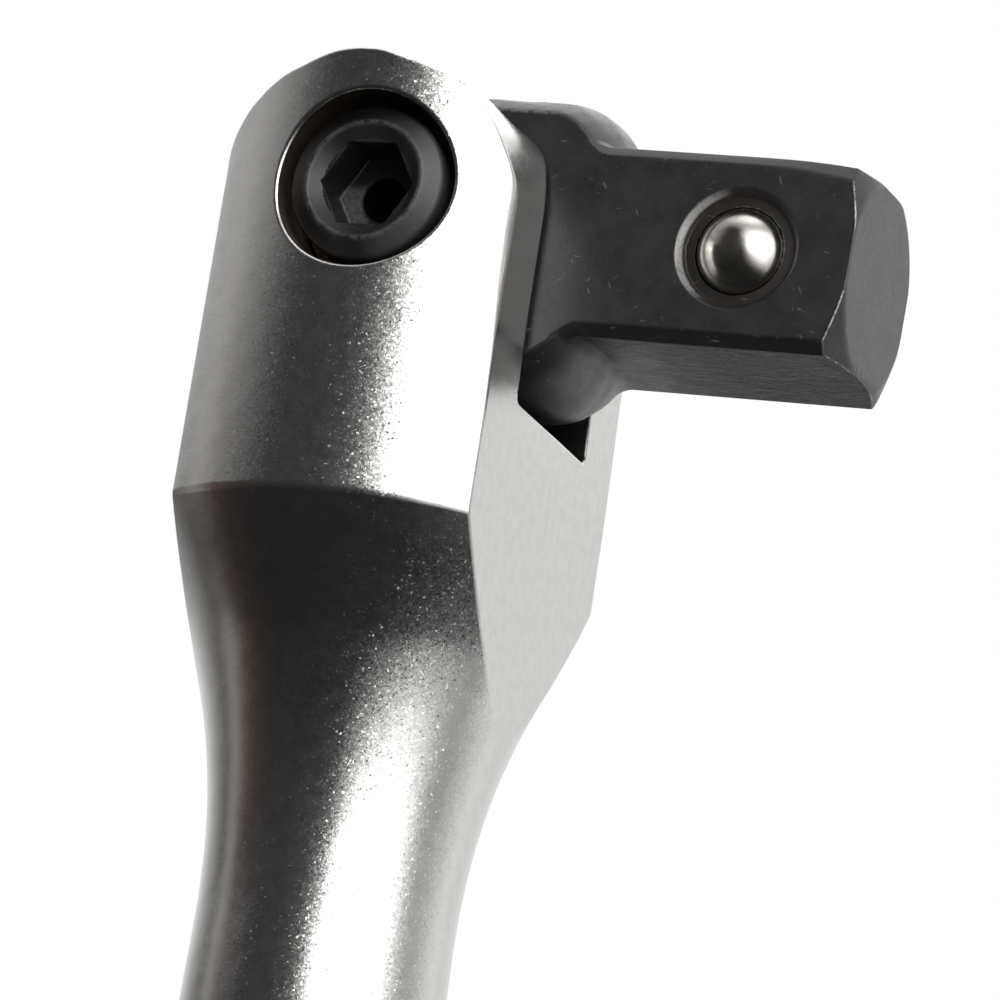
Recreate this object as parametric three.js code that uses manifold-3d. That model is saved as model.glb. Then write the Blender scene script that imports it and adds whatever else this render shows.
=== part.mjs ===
// Hinged breaker bar with a 12.7 mm square drive. Units are millimetres, +Z runs up the handle.
// The origin is the centre of the flat butt face, on the handle's axis. +X is the side to which the drive
// tang points at rest, and -Y is the side of the screw head and of the detent ball.
import * as THREE from 'three';
import { mergeVertices } from 'three/addons/utils/BufferGeometryUtils.js';
import Module from 'manifold-3d';

const wasm = await Module();
wasm.setup();

// ---- driving dimensions ----
const LENGTH = 400;            // butt face to the top of the fork
const PIVOT_Z = LENGTH - 10;   // height of the hinge axis
const PIVOT_X = 0.64;          // hinge axis sits a little to the drive side of the handle's axis
const REST_DROOP = 1.8;        // degrees by which the tang hangs below square at rest

const HEAD_R = 15.71;          // round sides of the head, about the handle's axis
const FLAT_X = 10.1;           // half the distance between the head's flats
const CREASE_Z = -20.35;       // crease between head and neck, below the pivot
const SLOT_HALF = 6.8;         // half the width of the slot
const SLOT_BOTTOM = -11.6;     // bottom of the slot, below the pivot
const NECK = [[-24, 13.62], [-28, 11.46], [-32, 9.99], [-36, 9.02], [-40, 8.45], [-44, 8.25], [-48, 8.3], [-54, 8.45], [-64, 8.6]];
// rounded top of the fork: angle from +X about the middle of the pivot, radius at the slot, radius at the outer round side
const TOP = [[13.4, 10.38, 10.38], [20, 10.44, 10.45], [25, 10.36, 10.36], [30, 10.13, 10.14], [35, 9.9, 9.95], [40, 9.73, 9.88], [45, 9.65, 9.54],
  [50, 9.62, 9.15], [55, 9.66, 8.8], [60, 9.74, 8.6], [66, 9.8, 8.43], [72, 9.86, 8.36], [80, 9.94, 8.42], [90, 10.0, 8.49],
  [100, 9.94, 8.61], [108, 9.86, 8.7], [114, 9.8, 8.74], [120, 9.74, 8.84], [125, 9.66, 9.0], [130, 9.62, 9.24], [135, 9.65, 9.45],
  [140, 9.73, 9.68], [145, 9.9, 9.89], [150, 10.13, 10.14], [155, 10.36, 10.3], [160, 10.44, 10.42], [166.6, 10.38, 10.38]];

const CBORE_R = 5.8;           // counterbore for the screw head
const CBORE_FLOOR = -9.6;
const PIN_HOLE_R = 4.12;

const SHANK_R = 8.6;           // the bar below the neck
const TAIL_R = 7.0;            // the bar inside the grip
const TAIL_TOP = 112;
const TAIL_END = 30.4;
const TAIL_FLAT = 6.2;         // flats that keep the grip from turning

const SCREW_HEAD_R = 5.12;
const SCREW_HEAD_TOP = -14.37;  // outer edge of the head's turned cone
const SCREW_RIDGE_R = 3.8;     // ridge round the socket's entry chamfer
const SCREW_RIDGE_Y = -15.05;
const SCREW_HEAD_UNDER = -10.56;
const PIN_R = 4.0;
const SCREW_END = 14.9;
const HEX_AF = 5.4;
const HEX_FLOOR = -10.95;

const SQ = 6.35;               // half of the square, and half of the hub's width
const SQ_CHAMFER = 0.72;
const HUB_R = 10.4;
const SHOULDER_X = 8.0;        // where the turned shoulder starts, from the pivot
const SHOULDER_R = 4.65;
const TIP_X = 29.75;           // end face of the square, from the pivot
const TIP_FLAT_R = 6.6;
const TIP_SLOPE = 0.47;
const HUB_BORE_R = 4.07;

const BALL_X = 22.21;
const BALL_R = 3.175;
const BALL_Y = -4.3;
const BALL_BORE_R = 3.25;
const BALL_BORE_END = 4.2;
const RING_R = 4.05;
const LIP_R = 2.9;
const LIP_Y = -5.8;

const WASHER_T = 0.33;
const WASHER_R = 8.0;

const CAP_TOP = 22;
const GRIP_TOP = 128;
const CORE_BORE_R = 7.15;
const HANG_Z = 10.5;
const HANG_R = 4.5;

// ---- helpers ----
function solid(geometry) {
  const g = geometry.clone();
  g.deleteAttribute('normal');
  g.deleteAttribute('uv');
  const m = mergeVertices(g, 1e-4);
  const tri = [];
  const idx = m.index.array;
  for (let i = 0; i < idx.length; i += 3) {
    if (idx[i] !== idx[i + 1] && idx[i + 1] !== idx[i + 2] && idx[i] !== idx[i + 2]) tri.push(idx[i], idx[i + 1], idx[i + 2]);
  }
  let s = new wasm.Manifold(new wasm.Mesh({ numProp: 3, vertProperties: Float32Array.from(m.attributes.position.array), triVerts: Uint32Array.from(tri) }));
  if (s.volume() < 0) {
    for (let i = 0; i < tri.length; i += 3) { const t = tri[i]; tri[i] = tri[i + 1]; tri[i + 1] = t; }
    s = new wasm.Manifold(new wasm.Mesh({ numProp: 3, vertProperties: Float32Array.from(m.attributes.position.array), triVerts: Uint32Array.from(tri) }));
  }
  return s;
}
function toGeometry(s) {
  const m = s.getMesh();
  const g = new THREE.BufferGeometry();
  const n = m.numProp, count = m.vertProperties.length / n;
  const pos = new Float32Array(count * 3);
  for (let i = 0; i < count; i++) for (let k = 0; k < 3; k++) pos[3 * i + k] = m.vertProperties[n * i + k];
  g.setAttribute('position', new THREE.BufferAttribute(pos, 3));
  g.setIndex(new THREE.BufferAttribute(Uint32Array.from(m.triVerts), 1));
  g.computeVertexNormals();
  return g;
}
// profile: [radius, height] pairs that start and end on the axis, or close on themselves. The axis is Z.
function turned(profile, segments = 48) {
  const g = new THREE.LatheGeometry(profile.map(([r, h]) => new THREE.Vector2(r, h)), segments);
  g.rotateX(Math.PI / 2);
  return g;
}
// the same about the Y axis: height h lies along +Y
function turnedY(profile, segments = 48) {
  return new THREE.LatheGeometry(profile.map(([r, h]) => new THREE.Vector2(r, h)), segments);
}
// the same about the X axis: height h lies along +X
function turnedX(profile, segments = 48) {
  const g = new THREE.LatheGeometry(profile.map(([r, h]) => new THREE.Vector2(r, h)), segments);
  g.rotateZ(-Math.PI / 2);
  return g;
}
function box(x0, x1, y0, y1, z0, z1) {
  const g = new THREE.BoxGeometry(x1 - x0, y1 - y0, z1 - z0);
  g.translate((x0 + x1) / 2, (y0 + y1) / 2, (z0 + z1) / 2);
  return g;
}
// an outline of [x, z] pairs, extruded along Y from y0 to y1
function prismXZ(outline, y0, y1) {
  const shape = new THREE.Shape(outline.map(([x, z]) => new THREE.Vector2(x, z)));
  const g = new THREE.ExtrudeGeometry(shape, { depth: y1 - y0, bevelEnabled: false, steps: 1 });
  g.rotateX(Math.PI / 2);
  g.translate(0, y1, 0);
  return g;
}
// flats and rounded top of the fork: the top falls away from the slot to the round sides
function forkShape() {
  const slotY = 7.0;
  const rows = [];
  for (const side of [-1, 1]) {
    const us = [0, 0.35, 0.6, 0.8, 1.0, 1.6];
    for (const u of side < 0 ? us.slice().reverse() : us) {
      const t = Math.min(u ** 1.25, 1.13);
      const row = [];
      const put = (x, z) => row.push([x, side * (slotY + u * (Math.sqrt(HEAD_R * HEAD_R - x * x) - slotY)), z]);
      put(FLAT_X, 0);
      for (const [deg, inner, outer] of TOP) {
        const a = (deg * Math.PI) / 180, r = inner + (outer - inner) * t;
        put(Math.max(-FLAT_X, Math.min(FLAT_X, r * Math.cos(a))), PIVOT_Z + r * Math.sin(a));
      }
      put(-FLAT_X, 0);
      rows.push(row);
    }
  }
  const n = rows[0].length;
  const pos = rows.flat(2), idx = [];
  for (let i = 0; i + 1 < rows.length; i++) {
    for (let j = 0; j < n; j++) {
      const k = (j + 1) % n, a = i * n + j, b = i * n + k, c = (i + 1) * n + k, d = (i + 1) * n + j;
      idx.push(a, b, c, a, c, d);
    }
  }
  for (const [row, first, flip] of [[rows[0], 0, true], [rows[rows.length - 1], (rows.length - 1) * n, false]]) {
    const hub = pos.length / 3;
    pos.push(0, row[Math.floor(n / 2)][1], PIVOT_Z / 2);
    for (let j = 0; j < n; j++) {
      const a = first + j, b = first + ((j + 1) % n);
      if (flip) idx.push(hub, b, a); else idx.push(hub, a, b);
    }
  }
  const g = new THREE.BufferGeometry();
  g.setAttribute('position', new THREE.Float32BufferAttribute(pos, 3));
  g.setIndex(idx);
  return g;
}
const moved = (g, x, y, z) => { g.translate(x, y, z); return g; };

// ---- handle bar: fork, neck, shank and tail in one forging ----
const profile = [[0, TAIL_END], [TAIL_R - 0.8, TAIL_END], [TAIL_R, TAIL_END + 0.8], [TAIL_R, TAIL_TOP], [SHANK_R, TAIL_TOP + 0.6]];
for (let i = NECK.length - 1; i >= 0; i--) profile.push([NECK[i][1], PIVOT_Z + NECK[i][0]]);
profile.push([HEAD_R, PIVOT_Z + CREASE_Z], [HEAD_R, PIVOT_Z + 11], [0, PIVOT_Z + 11]);
let bar = solid(turned(profile, 56));
bar = bar.intersect(solid(forkShape()));
bar = bar.subtract(solid(box(-20, 20, -SLOT_HALF, SLOT_HALF, PIVOT_Z + SLOT_BOTTOM, PIVOT_Z + 20)));
bar = bar.subtract(solid(moved(turnedY([[0, -18], [CBORE_R, -18], [CBORE_R, CBORE_FLOOR], [0, CBORE_FLOOR]], 40), PIVOT_X, 0, PIVOT_Z)));
bar = bar.subtract(solid(moved(turnedY([[0, -12], [PIN_HOLE_R, -12], [PIN_HOLE_R, 18], [0, 18]], 40), PIVOT_X, 0, PIVOT_Z)));
for (const side of [-1, 1]) {
  bar = bar.subtract(solid(box(-12, 12, side > 0 ? TAIL_FLAT : -12, side > 0 ? 12 : -TAIL_FLAT, TAIL_END - 2, TAIL_TOP - 4)));
}

// ---- drive tang, made about the pivot with the square along +X ----
const hubProfile = [[0, -11], [HUB_R, -11], [HUB_R, SHOULDER_X]];
for (let i = 1; i <= 7; i++) {
  const a = (i / 7) * 1.45;
  hubProfile.push([HUB_R - SHOULDER_R + SHOULDER_R * Math.cos(a), SHOULDER_X + SHOULDER_R * Math.sin(a)]);
}
hubProfile.push([0, hubProfile[hubProfile.length - 1][1]]);
let hub = solid(turnedX(hubProfile, 56));
hub = hub.intersect(solid(box(-12, 20, -SQ, SQ, -12, 12)));
const swing = solid(turnedY([[0, -8], [HUB_R, -8], [HUB_R, 8], [0, 8]], 56)).add(solid(box(0, 20, -8, 8, -12, 12)));
hub = hub.intersect(swing);
const q = SQ, c = SQ_CHAMFER;
const section = new THREE.Shape([[q, q - c], [q - c, q], [c - q, q], [-q, q - c], [-q, c - q], [c - q, -q], [q - c, -q], [q, c - q]].map(([a, b]) => new THREE.Vector2(a, b)));
const barG = new THREE.ExtrudeGeometry(section, { depth: 27, bevelEnabled: false, steps: 1 });
barG.rotateX(Math.PI / 2);
barG.rotateZ(Math.PI / 2);
barG.computeBoundingBox();
barG.translate(4 - barG.boundingBox.min.x, -(barG.boundingBox.min.y + barG.boundingBox.max.y) / 2, -(barG.boundingBox.min.z + barG.boundingBox.max.z) / 2);
let square = solid(barG);
square = square.intersect(solid(turnedX([[0, 0], [9.4, 0], [9.4, TIP_X - TIP_SLOPE * (9.4 - TIP_FLAT_R)], [TIP_FLAT_R, TIP_X], [0, TIP_X]], 56)));
let tang = hub.add(square);
tang = tang.subtract(solid(turnedY([[0, -8], [HUB_BORE_R, -8], [HUB_BORE_R, 8], [0, 8]], 40)));
tang = tang.subtract(solid(moved(turnedY([[0, -8], [RING_R, -8], [RING_R, -SQ], [RING_R - 0.35, -SQ + 0.34], [LIP_R, LIP_Y], [BALL_BORE_R, -5.0], [BALL_BORE_R, BALL_BORE_END], [0, BALL_BORE_END + 1.2]], 32), BALL_X, 0, 0)));

// ---- detent ball and spring ----
const ballProfile = [];
for (let i = 0; i <= 14; i++) {
  const a = -Math.PI / 2 + (Math.PI * i) / 14;
  ballProfile.push([i === 0 || i === 14 ? 0 : BALL_R * Math.cos(a), BALL_R * Math.sin(a)]);
}
const ballG = moved(turnedY(ballProfile, 24), BALL_X, BALL_Y, 0);

class Coil extends THREE.Curve {
  constructor(r, y0, y1, turns) { super(); Object.assign(this, { r, y0, y1, turns }); }
  getPoint(t, out = new THREE.Vector3()) {
    const a = t * this.turns * 2 * Math.PI;
    return out.set(this.r * Math.cos(a), this.y0 + (this.y1 - this.y0) * t, this.r * Math.sin(a));
  }
}
const wire = new THREE.Shape();
for (let i = 0; i < 6; i++) {
  const a = (i / 6) * 2 * Math.PI;
  if (i === 0) wire.moveTo(0.26 * Math.cos(a), 0.26 * Math.sin(a)); else wire.lineTo(0.26 * Math.cos(a), 0.26 * Math.sin(a));
}
wire.closePath();
const springG = moved(new THREE.ExtrudeGeometry(wire, { steps: 66, bevelEnabled: false, extrudePath: new Coil(2.1, -1.45, 3.85, 5) }), BALL_X, 0, 0);

// ---- hinge screw ----
let screw = solid(turnedY([[0, SCREW_RIDGE_Y], [SCREW_RIDGE_R, SCREW_RIDGE_Y], [SCREW_HEAD_R, SCREW_HEAD_TOP], [SCREW_HEAD_R, SCREW_HEAD_UNDER],
  [PIN_R, SCREW_HEAD_UNDER], [PIN_R, SCREW_END - 0.7], [PIN_R - 0.7, SCREW_END], [0, SCREW_END]], 40));
const hexR = HEX_AF / Math.sqrt(3);
const hex = [];
for (let i = 0; i < 6; i++) hex.push([hexR * Math.cos((i * Math.PI) / 3), hexR * Math.sin((i * Math.PI) / 3)]);
screw = screw.subtract(solid(prismXZ(hex, SCREW_RIDGE_Y - 1, HEX_FLOOR)));
screw = screw.subtract(solid(turnedY([[0, SCREW_RIDGE_Y - 0.5], [SCREW_RIDGE_R, SCREW_RIDGE_Y - 0.5], [SCREW_RIDGE_R, SCREW_RIDGE_Y], [SCREW_RIDGE_R - 0.825, SCREW_RIDGE_Y + 0.75], [0, SCREW_RIDGE_Y + 0.75]], 40)));
screw = screw.subtract(solid(turnedY([[0, -13], [1.44, -13], [1.44, HEX_FLOOR], [0, HEX_FLOOR + 0.65]], 24)));

// ---- washers: closed rings about the hinge axis ----
const ring = (points, n = 40) => moved(turnedY([...points, points[0]], n), PIVOT_X, 0, PIVOT_Z);
const springWasher = ring([[4.25, -10.47], [5.55, -10.16], [5.55, -9.68], [4.25, -9.99]]);
const washerFar = ring([[4.2, SQ + 0.06], [WASHER_R, SQ + 0.06], [WASHER_R, SQ + 0.06 + WASHER_T], [4.2, SQ + 0.06 + WASHER_T]]);
const washerNear = ring([[4.2, -SQ - 0.06 - WASHER_T], [WASHER_R, -SQ - 0.06 - WASHER_T], [WASHER_R, -SQ - 0.06], [4.2, -SQ - 0.06]]);

// ---- grip: hard core, soft skin, end cap ----
const core = solid(turned([
  [CORE_BORE_R, 22.3], [13.0, 22.3], [13.9, 23.4], [14.1, 25.6], [13.9, 27.6], [12.6, 28.2], [11.2, 28.4], [11.2, 112.0], [13.6, 112.2], [14.6, 113.2],
  [15.0, 115.2], [14.9, 117.6], [14.2, 119.8], [12.8, 122.6], [11.7, 125.6], [11.1, 128.0], [8.85, GRIP_TOP + 0.4], [8.85, TAIL_TOP - 0.3], [CORE_BORE_R, TAIL_TOP - 0.3], [CORE_BORE_R, 22.3]], 36));
// the skin's outer shape: a soft barrel with four shallow waists and a thumb rest under the collar
const skin = [[11.32, 28.6]];
for (let i = 0; i <= 18; i++) {
  const t = i / 18, z = 28.6 + (111.8 - 28.6) * t;
  const barrel = 13.9 + 0.75 * Math.sin(Math.PI * t) + 0.35 * Math.cos(2 * Math.PI * t * 3.5 + 0.4);
  skin.push([barrel, z]);
}
skin.push([11.32, 111.8], [11.32, 28.6]);
const skinG = turned(skin, 36);

let cap = solid(turned([[0, 0], [10.6, 0], [12.2, 0.9], [13.1, 2.6], [13.3, 6.0], [13.2, 18.0], [13.0, CAP_TOP], [6.85, CAP_TOP], [6.85, 30.0], [0, 30.0]], 48));
cap = cap.subtract(solid(moved(turnedY([[0, -18], [HANG_R, -18], [HANG_R, 18], [0, 18]], 32), 0, 0, HANG_Z)));

// ---- scene graph ----
const chrome = () => new THREE.MeshStandardMaterial({ color: 0xb9b8b4, roughness: 0.34, metalness: 1.0 });
const black = () => new THREE.MeshStandardMaterial({ color: 0x2f2e2f, roughness: 0.48, metalness: 0.85 });
const bright = () => new THREE.MeshStandardMaterial({ color: 0xcfcac2, roughness: 0.12, metalness: 1.0 });
const plain = () => new THREE.MeshStandardMaterial({ color: 0x8d8d8b, roughness: 0.35, metalness: 1.0 });
const hard = () => new THREE.MeshStandardMaterial({ color: 0x17181a, roughness: 0.5, metalness: 0.0 });
const soft = () => new THREE.MeshStandardMaterial({ color: 0x26272a, roughness: 0.85, metalness: 0.0 });

function mesh(name, geometry, material) {
  const m = new THREE.Mesh(geometry, material);
  m.name = name;
  return m;
}

const tool = new THREE.Group();
tool.add(mesh('handle_bar', toGeometry(bar), chrome()));
tool.add(mesh('hinge_screw', toGeometry(screw).translate(PIVOT_X, 0, PIVOT_Z), black()));
tool.add(mesh('spring_washer', springWasher, plain()));
tool.add(mesh('thrust_washer_near', washerNear, plain()));
tool.add(mesh('thrust_washer_far', washerFar, plain()));
tool.add(mesh('grip_core', toGeometry(core), hard()));
tool.add(mesh('grip_skin', skinG, soft()));
tool.add(mesh('end_cap', toGeometry(cap), hard()));

// everything that swings with the tang sits in one group, turned about the hinge axis
const swinging = new THREE.Group();
swinging.position.set(PIVOT_X, 0, PIVOT_Z);
swinging.rotation.y = (REST_DROOP * Math.PI) / 180;
swinging.add(mesh('drive_tang', toGeometry(tang), black()));
swinging.add(mesh('detent_ball', ballG, bright()));
swinging.add(mesh('detent_spring', springG, plain()));
tool.add(swinging);

export default tool;
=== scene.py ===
# Looks of a hinged breaker bar with a 12.7 mm square drive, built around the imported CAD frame.
# Lengths in the shape functions are millimetres; the objects are in metres, in the CAD frame:
# +Z up the handle, +X the side the square points to at rest, -Y the side of the hinge screw's head.
import math
import bpy
import numpy as np
from mathutils import Matrix, Vector


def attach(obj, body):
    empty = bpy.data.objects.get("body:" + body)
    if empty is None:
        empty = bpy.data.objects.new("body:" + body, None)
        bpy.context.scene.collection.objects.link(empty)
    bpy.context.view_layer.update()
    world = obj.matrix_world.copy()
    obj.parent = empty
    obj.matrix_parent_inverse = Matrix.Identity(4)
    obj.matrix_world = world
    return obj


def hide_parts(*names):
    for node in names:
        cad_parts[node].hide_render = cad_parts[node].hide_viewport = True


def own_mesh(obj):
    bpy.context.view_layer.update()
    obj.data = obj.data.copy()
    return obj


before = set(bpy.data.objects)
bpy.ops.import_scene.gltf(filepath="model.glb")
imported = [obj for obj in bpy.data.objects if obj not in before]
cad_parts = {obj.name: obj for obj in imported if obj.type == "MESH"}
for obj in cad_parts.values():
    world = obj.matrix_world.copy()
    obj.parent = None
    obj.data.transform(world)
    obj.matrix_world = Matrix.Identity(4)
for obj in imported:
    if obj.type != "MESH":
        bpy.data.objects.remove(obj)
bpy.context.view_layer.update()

PIV_X, PIV_Z = 0.64, 390.0      # hinge axis
DROOP = math.radians(1.8)       # the square hangs this much below level at rest

# ---------------------------------------------------------------- camera, at the photograph's viewing angle
cam_data = bpy.data.cameras.new("camera")
cam_data.sensor_fit = "HORIZONTAL"
cam_data.sensor_width = 36.0
cam_data.lens = 36.0 * 5.723016
cam_data.clip_start = 0.01
cam_data.clip_end = 60.0
camera = bpy.data.objects.new("camera", cam_data)
bpy.context.scene.collection.objects.link(camera)
right, down, ahead = Vector((0.93348052, 0.32577931, 0.14993985)), Vector((0.05378658, 0.28618529, -0.95666347)), Vector((-0.35457175, 0.90109146, 0.24962583))
camera.matrix_world = Matrix((
    (right.x, -down.x, -ahead.x, 0.1370370),
    (right.y, -down.y, -ahead.y, -0.3298986),
    (right.z, -down.z, -ahead.z, 0.2824161),
    (0, 0, 0, 1)))
bpy.context.scene.camera = camera

# ---------------------------------------------------------------- meshing of shapes given as distance functions
def smax(a, b, r):
    """intersection whose edge is rounded to radius r"""
    u = np.maximum(a + r, 0.0)
    v = np.maximum(b + r, 0.0)
    return np.minimum(np.maximum(a, b), -r) + np.sqrt(u * u + v * v)


def smin(a, b, r):
    return -smax(-a, -b, r)


def steps(*runs):
    """node coordinates from (start, end, cell size) runs laid end to end"""
    out = [runs[0][0]]
    for a, b, h in runs:
        n = max(1, int(round((b - a) / h)))
        out += list(a + (b - a) * np.arange(1, n + 1) / n)
    return np.array(out)


def net(f, xs, ys, zs, lip=1.3):
    """surface net of f = 0 on a grid, with work only in the cells near the surface: vertices and quads"""
    axes = []
    for a in (xs, ys, zs):
        a = np.asarray(a, float)
        extra = (-(len(a) - 1)) % 4
        axes.append(np.concatenate([a, a[-1] + (a[-1] - a[-2]) * np.arange(1, extra + 1)]))
    n = [len(a) - 1 for a in axes]
    B = np.stack(np.meshgrid(*[np.arange(0, m, 4) for m in n], indexing="ij"), -1).reshape(-1, 3)
    corner = np.array([[i, j, k] for i in (0, 1) for j in (0, 1) for k in (0, 1)])
    for size in (4, 2):
        lo = np.stack([axes[d][B[:, d]] for d in range(3)], 1)
        hi = np.stack([axes[d][B[:, d] + size] for d in range(3)], 1)
        mid = (lo + hi) / 2
        v = f(mid[:, 0], mid[:, 1], mid[:, 2])
        B = B[np.abs(v) <= lip * np.linalg.norm(hi - lo, axis=1) / 2 + 0.05]
        if size > 2:
            B = (B[:, None, :] + corner[None] * (size // 2)).reshape(-1, 3)
    off = np.array([[i, j, k] for i in range(3) for j in range(3) for k in range(3)])
    nodes = (B[:, None, :] + off[None]).reshape(-1, 3).astype(np.int64)
    key = (nodes[:, 0] * (n[1] + 1) + nodes[:, 1]) * (n[2] + 1) + nodes[:, 2]
    uk, inv = np.unique(key, return_inverse=True)
    val = f(axes[0][uk // ((n[2] + 1) * (n[1] + 1))], axes[1][(uk // (n[2] + 1)) % (n[1] + 1)], axes[2][uk % (n[2] + 1)])
    val = np.where(val == 0, 1e-9, val)
    V = val[inv.reshape(-1)].reshape(-1, 3, 3, 3)
    cells, vals = [], []
    for c in corner:
        w = V[:, c[0]:c[0] + 2, c[1]:c[1] + 2, c[2]:c[2] + 2].reshape(-1, 8)
        neg = (w < 0).sum(1)
        act = (neg > 0) & (neg < 8)
        cells.append((B + c)[act])
        vals.append(w[act])
    cells = np.concatenate(cells).astype(np.int64)
    vals = np.concatenate(vals)
    key = (cells[:, 0] * n[1] + cells[:, 1]) * n[2] + cells[:, 2]
    order = np.argsort(key, kind="stable")
    key, cells, vals = key[order], cells[order], vals[order]
    pos = np.zeros((len(cells), 3))
    cnt = np.zeros(len(cells))
    for a in range(8):
        for d, bit in ((0, 4), (1, 2), (2, 1)):
            if a & bit:
                continue
            va, vb = vals[:, a], vals[:, a | bit]
            m = (va < 0) != (vb < 0)
            t = np.where(m, va / np.where(m, va - vb, 1.0), 0.0)
            p = np.tile(corner[a].astype(float), (len(cells), 1))
            p[:, d] += t
            pos[m] += p[m]
            cnt += m
    pos /= cnt[:, None]
    P = np.empty_like(pos)
    for d in range(3):
        a = axes[d]
        P[:, d] = a[cells[:, d]] + pos[:, d] * (a[cells[:, d] + 1] - a[cells[:, d]])
    quads = []
    unit_step = [np.array(v) for v in ((1, 0, 0), (0, 1, 0), (0, 0, 1))]
    for d, bit in ((0, 4), (1, 2), (2, 1)):
        m = (vals[:, 0] < 0) != (vals[:, bit] < 0)
        c, out = cells[m], vals[m][:, 0] < 0
        e, g = unit_step[(d + 1) % 3], unit_step[(d + 2) % 3]
        ids = []
        ok = np.ones(len(c), bool)
        for s in (-e - g, -g, 0 * e, -e):
            q = c + s
            k = (q[:, 0] * n[1] + q[:, 1]) * n[2] + q[:, 2]
            i = np.clip(np.searchsorted(key, k), 0, len(key) - 1)
            ok &= key[i] == k
            ids.append(i)
        quad = np.stack(ids, 1)
        quad[~out] = quad[~out][:, ::-1]
        if not ok.all():
            print("net: faces without a neighbour:", int((~ok).sum()))
        quads.append(quad[ok])
    return P, np.concatenate(quads)


def slope(f, P, e=2e-3):
    g = np.empty_like(P)
    for d in range(3):
        hi, lo = P.copy(), P.copy()
        hi[:, d] += e
        lo[:, d] -= e
        g[:, d] = (f(*hi.T) - f(*lo.T)) / (2 * e)
    return g


def settle(f, P, rounds=2, cap=0.2):
    """moves points onto the surface f = 0"""
    for _ in range(rounds):
        g = slope(f, P)
        k = f(*P.T) / np.maximum((g * g).sum(1), 1e-2)
        P = P - np.clip(k, -cap, cap)[:, None] * g
    return P


def unit(g):
    return g / np.maximum(np.linalg.norm(g, axis=1), 1e-12)[:, None]


def raw_mesh(name, P, faces):
    """a mesh from points and a list of face arrays, each array with its own number of corners"""
    me = bpy.data.meshes.new(name)
    faces = [np.asarray(F) for F in faces if len(F)]
    me.vertices.add(len(P))
    me.vertices.foreach_set("co", np.ascontiguousarray(P, dtype=np.float32).ravel())
    loops = np.concatenate([F.ravel() for F in faces]).astype(np.int32)
    me.loops.add(len(loops))
    me.loops.foreach_set("vertex_index", loops)
    starts, at = [], 0
    for F in faces:
        starts.append(at + np.arange(len(F)) * F.shape[1])
        at += F.size
    starts = np.concatenate(starts).astype(np.int32)
    me.polygons.add(len(starts))
    me.polygons.foreach_set("loop_start", starts)
    me.update(calc_edges=True)
    me.polygons.foreach_set("use_smooth", np.ones(len(starts), bool))
    return me


def thin(P, F, target):
    """the same surface in fewer triangles: large ones where it is flat, small ones on rounded edges"""
    me = raw_mesh("dense", P, [F])
    ob = bpy.data.objects.new("dense", me)
    bpy.context.scene.collection.objects.link(ob)
    mod = ob.modifiers.new("thin", "DECIMATE")
    mod.ratio = min(1.0, target / (2.0 * len(F)))
    dg = bpy.context.evaluated_depsgraph_get()
    got = bpy.data.meshes.new_from_object(ob.evaluated_get(dg), depsgraph=dg)
    Q = np.empty(len(got.vertices) * 3, np.float32)
    got.vertices.foreach_get("co", Q)
    got.calc_loop_triangles()
    T = np.empty(len(got.loop_triangles) * 3, np.int32)
    got.loop_triangles.foreach_get("vertices", T)
    bpy.data.objects.remove(ob)
    bpy.data.meshes.remove(me)
    bpy.data.meshes.remove(got)
    return Q.reshape(-1, 3).astype(float), T.reshape(-1, 3)


def piece(name, me, material, body, node, at=None):
    ob = bpy.data.objects.new(name, me)
    bpy.context.scene.collection.objects.link(ob)
    if at is not None:
        ob.matrix_world = at
    me.materials.append(material)
    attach(ob, body)
    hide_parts(node)
    return ob


def hang(P):
    """turned from the tang's own axes to those it has at rest"""
    P = np.asarray(P, float)
    c, s = math.cos(DROOP), math.sin(DROOP)
    return np.stack([P[:, 0] * c + P[:, 2] * s, P[:, 1], P[:, 2] * c - P[:, 0] * s], 1)


def carve(name, f, grid, target, place=None):
    """mesh in metres of the shape f (millimetres), with the shape's own normals"""
    P, F = net(f, *grid)
    P = settle(f, P)
    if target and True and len(F) * 2 > target:
        P, F = thin(P, F, target)
        P = settle(f, P, 1, 0.05)
    N = unit(slope(f, P))
    if place is not None:
        P, N = place(P), place(N)
    me = raw_mesh(name, P * 0.001, [F])
    me.normals_split_custom_set_from_vertices(N.tolist())
    return me


def soft(points, k=5):
    """closed outline from (r, z, fillet) points: fillet None is a point of a smooth curve. Returns points and their outward normals.
    The outline runs anticlockwise in the (r, z) plane, so that its outward side is on the right."""
    n = len(points)
    P = [np.array(p[:2], float) for p in points]
    out, nrm = [], []

    def side(a, b):
        d = (b - a) / np.linalg.norm(b - a)
        return np.array([d[1], -d[0]])

    for i in range(n):
        a, b, c = P[i - 1], P[i], P[(i + 1) % n]
        n0, n1 = side(a, b), side(b, c)
        r = points[i][2]
        if r is None:
            m = n0 + n1
            out.append(b)
            nrm.append(m / np.linalg.norm(m))
            continue
        d0, d1 = (b - a) / np.linalg.norm(b - a), (c - b) / np.linalg.norm(c - b)
        turn = math.acos(max(-1.0, min(1.0, float(d0 @ d1))))
        t = min(r * math.tan(turn / 2), 0.45 * np.linalg.norm(b - a), 0.45 * np.linalg.norm(c - b))
        rr = t / max(math.tan(turn / 2), 1e-6)
        left = d0[0] * d1[1] - d0[1] * d1[0] > 0
        centre = b - d0 * t - (n0 if left else -n0) * rr
        for j in range(k + 1):
            s = j / k
            m = n0 * (1 - s) + n1 * s
            m = m / np.linalg.norm(m)
            out.append(centre + (m if left else -m) * rr)
            nrm.append(m)
    return np.array(out), np.array(nrm)


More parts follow.
